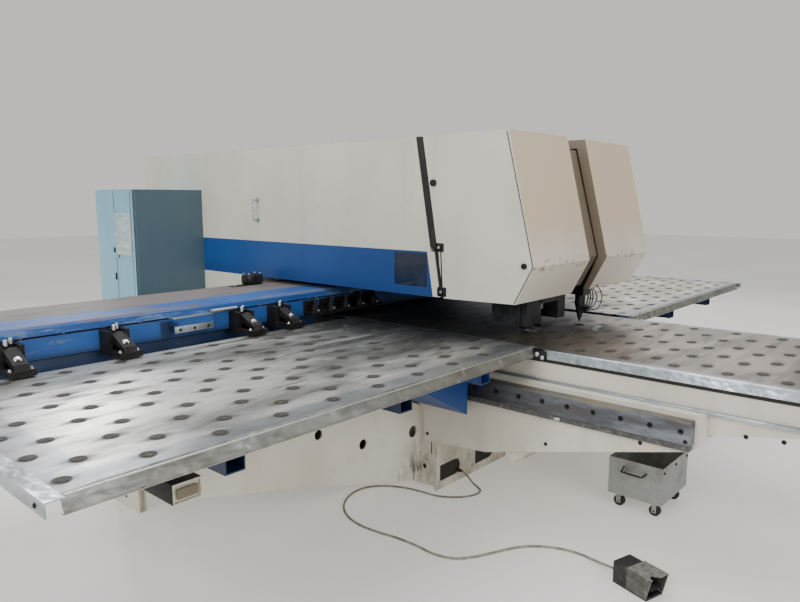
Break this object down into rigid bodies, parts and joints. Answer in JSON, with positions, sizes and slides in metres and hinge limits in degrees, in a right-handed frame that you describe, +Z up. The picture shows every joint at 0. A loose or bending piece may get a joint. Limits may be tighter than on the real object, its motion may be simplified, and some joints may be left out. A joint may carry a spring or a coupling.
{
  "type": "single-head punching and laser cutting machine",
  "caption": "Floor-standing sheet metal punching and laser cutting machine: C-frame with a closed head, brush tables travelling on a cross rail, clamps and tool holders.",
  "frame": {"origin": "on the floor, in the middle of the machine's outline", "axes": "+X along the cross rail to the operator's right, +Y to the rear of the machine, +Z up"},
  "size_m": [6.07, 4.99, 2.05],
  "materials": {
    "cream_paint": "satin",
    "cream_paint_worn": "worn satin",
    "blue_paint": "satin",
    "dark_window": "gloss",
    "black_rubber": "matte",
    "black_steel": "satin",
    "taupe_paint": "satin",
    "grey_steel": "worn",
    "bright_steel": "worn",
    "tool_steel": "machined",
    "table_steel": "stained",
    "brush_insert": "bristle",
    "cabinet_paint": "satin",
    "galvanised": "dull zinc",
    "black_plastic": "matte",
    "hood_paint": "worn",
    "cord_sheath": "matte"
  },
  "bodies": {
    "machine": {"base_frame": "cream_paint_worn", "levelling_feet": "black_steel", "c_frame": "cream_paint", "flank_cover_left": "cream_paint", "flank_cover_right": "cream_paint", "stripe_panel_left": "blue_paint", "stripe_panel_right": "blue_paint", "stripe_windows": "dark_window", "arm_roof": "cream_paint", "rear_cover": "cream_paint", "column_cover": "cream_paint_worn", "flank_handles": "bright_steel", "seam_strips": "black_rubber", "recess_panel": "taupe_paint", "hinge_pins": "black_steel", "ram_housing": "grey_steel", "stripper": "grey_steel", "die_holder": "grey_steel", "laser_mount": "grey_steel", "front_arm": "cream_paint_worn", "centre_table": "table_steel", "centre_trims": "bright_steel", "centre_brushes": "brush_insert", "y_rails": "grey_steel", "outriggers": "cream_paint_worn", "guide_tubes": "cream_paint_worn", "cabinet_body": "cabinet_paint", "switch_base": "black_plastic", "switch_hood": "hood_paint", "cord_gland": "black_rubber", "switch_cord": "cord_sheath", "scrap_bin": "galvanised", "bin_forks": "galvanised"},
    "gantry": {"cross_rail": "blue_paint", "x_guides": "bright_steel", "table_left": "table_steel", "table_right": "table_steel", "table_frames": "blue_paint", "table_brushes": "brush_insert", "side_trims": "bright_steel", "front_aprons": "galvanised", "gusset_brackets": "blue_paint"},
    "carriage": {"carriage_bar": "blue_paint", "clamp_bodies": "black_steel", "tool_holders": "bright_steel"},
    "jaws": {"clamp_jaws": "grey_steel"},
    "ram": {"ram": "bright_steel"},
    "punch": {"punch_tool": "tool_steel"},
    "die": {"die": "tool_steel"},
    "laser": {"laser_head": "grey_steel", "laser_cables": "black_rubber"},
    "head_door_left": {"head_door_left": "cream_paint"},
    "head_door_right": {"head_door_right": "cream_paint"},
    "cabinet_door_front": {"cabinet_door_front": "cabinet_paint"},
    "cabinet_door_rear": {"cabinet_door_rear": "cabinet_paint"},
    "pedal": {"switch_pedal": "black_plastic"},
    "roller_left": {"outer_roller_left": "grey_steel"},
    "roller_right": {"outer_roller_right": "grey_steel"},
    "bin_wheels_front": {"bin_wheels_front": "black_rubber"},
    "bin_wheels_rear": {"bin_wheels_rear": "black_rubber"}
  },
  "joints": [
    {"name": "gantry_slide", "type": "slide", "parent": "machine", "child": "gantry", "axis": [0, 1, 0], "range_m": [-0.87, 0.1]},
    {"name": "carriage_slide", "type": "slide", "parent": "gantry", "child": "carriage", "axis": [1, 0, 0], "range_m": [-0.2, 2.3]},
    {"name": "clamp_jaws_hinge", "type": "hinge", "parent": "carriage", "child": "jaws", "pos_m": [-2.61, 0.219, 1.048], "axis": [-1, 0, 0], "range_deg": [0, 20]},
    {"name": "ram_slide", "type": "slide", "parent": "machine", "child": "ram", "axis": [0, 0, -1], "range_m": [0, 0.036]},
    {"name": "punch_spin", "type": "hinge", "parent": "ram", "child": "punch", "pos_m": [-0.175, -0.95, 1], "axis": [0, 0, 1], "continuous": true},
    {"name": "die_spin", "type": "hinge", "parent": "machine", "child": "die", "pos_m": [-0.175, -0.95, 0.92], "axis": [0, 0, 1], "continuous": true},
    {"name": "laser_slide", "type": "slide", "parent": "machine", "child": "laser", "axis": [0, 0, 1], "range_m": [0, 0.06]},
    {"name": "head_door_left_hinge", "type": "hinge", "parent": "machine", "child": "head_door_left", "pos_m": [-0.696, -0.67057, 1.205], "axis": [0, -0.1709, -0.9853], "range_deg": [0, 100]},
    {"name": "head_door_right_hinge", "type": "hinge", "parent": "machine", "child": "head_door_right", "pos_m": [0.696, -0.67057, 1.205], "axis": [0, 0.1709, 0.9853], "range_deg": [0, 100]},
    {"name": "cabinet_front_hinge", "type": "hinge", "parent": "machine", "child": "cabinet_door_front", "pos_m": [-1.263, 1.65, 0.5], "axis": [0, 0, 1], "range_deg": [0, 110]},
    {"name": "cabinet_rear_hinge", "type": "hinge", "parent": "machine", "child": "cabinet_door_rear", "pos_m": [-1.263, 2.208, 0.5], "axis": [0, 0, -1], "range_deg": [0, 110]},
    {"name": "pedal_hinge", "type": "hinge", "parent": "machine", "child": "pedal", "pos_m": [-0.87099, -1.93237, 0.042], "axis": [0.9563, -0.2924, 0], "range_deg": [0, 10]},
    {"name": "roller_left_spin", "type": "hinge", "parent": "gantry", "child": "roller_left", "pos_m": [-2.2775, 0.575, 0.6323], "axis": [1, 0, 0], "continuous": true},
    {"name": "roller_right_spin", "type": "hinge", "parent": "gantry", "child": "roller_right", "pos_m": [2.2775, 0.575, 0.6323], "axis": [1, 0, 0], "continuous": true},
    {"name": "bin_front_axle", "type": "hinge", "parent": "machine", "child": "bin_wheels_front", "pos_m": [0.02, -1.71, 0.03], "axis": [1, 0, 0], "continuous": true},
    {"name": "bin_rear_axle", "type": "hinge", "parent": "machine", "child": "bin_wheels_rear", "pos_m": [0.02, -1.51, 0.03], "axis": [1, 0, 0], "continuous": true}
  ],
  "couplings": [
    {"joint": "die_spin", "follows": "punch_spin", "ratio": 1},
    {"joint": "roller_left_spin", "follows": "gantry_slide", "rad_per_m": -22.222},
    {"joint": "roller_right_spin", "follows": "gantry_slide", "rad_per_m": -22.222}
  ]
}
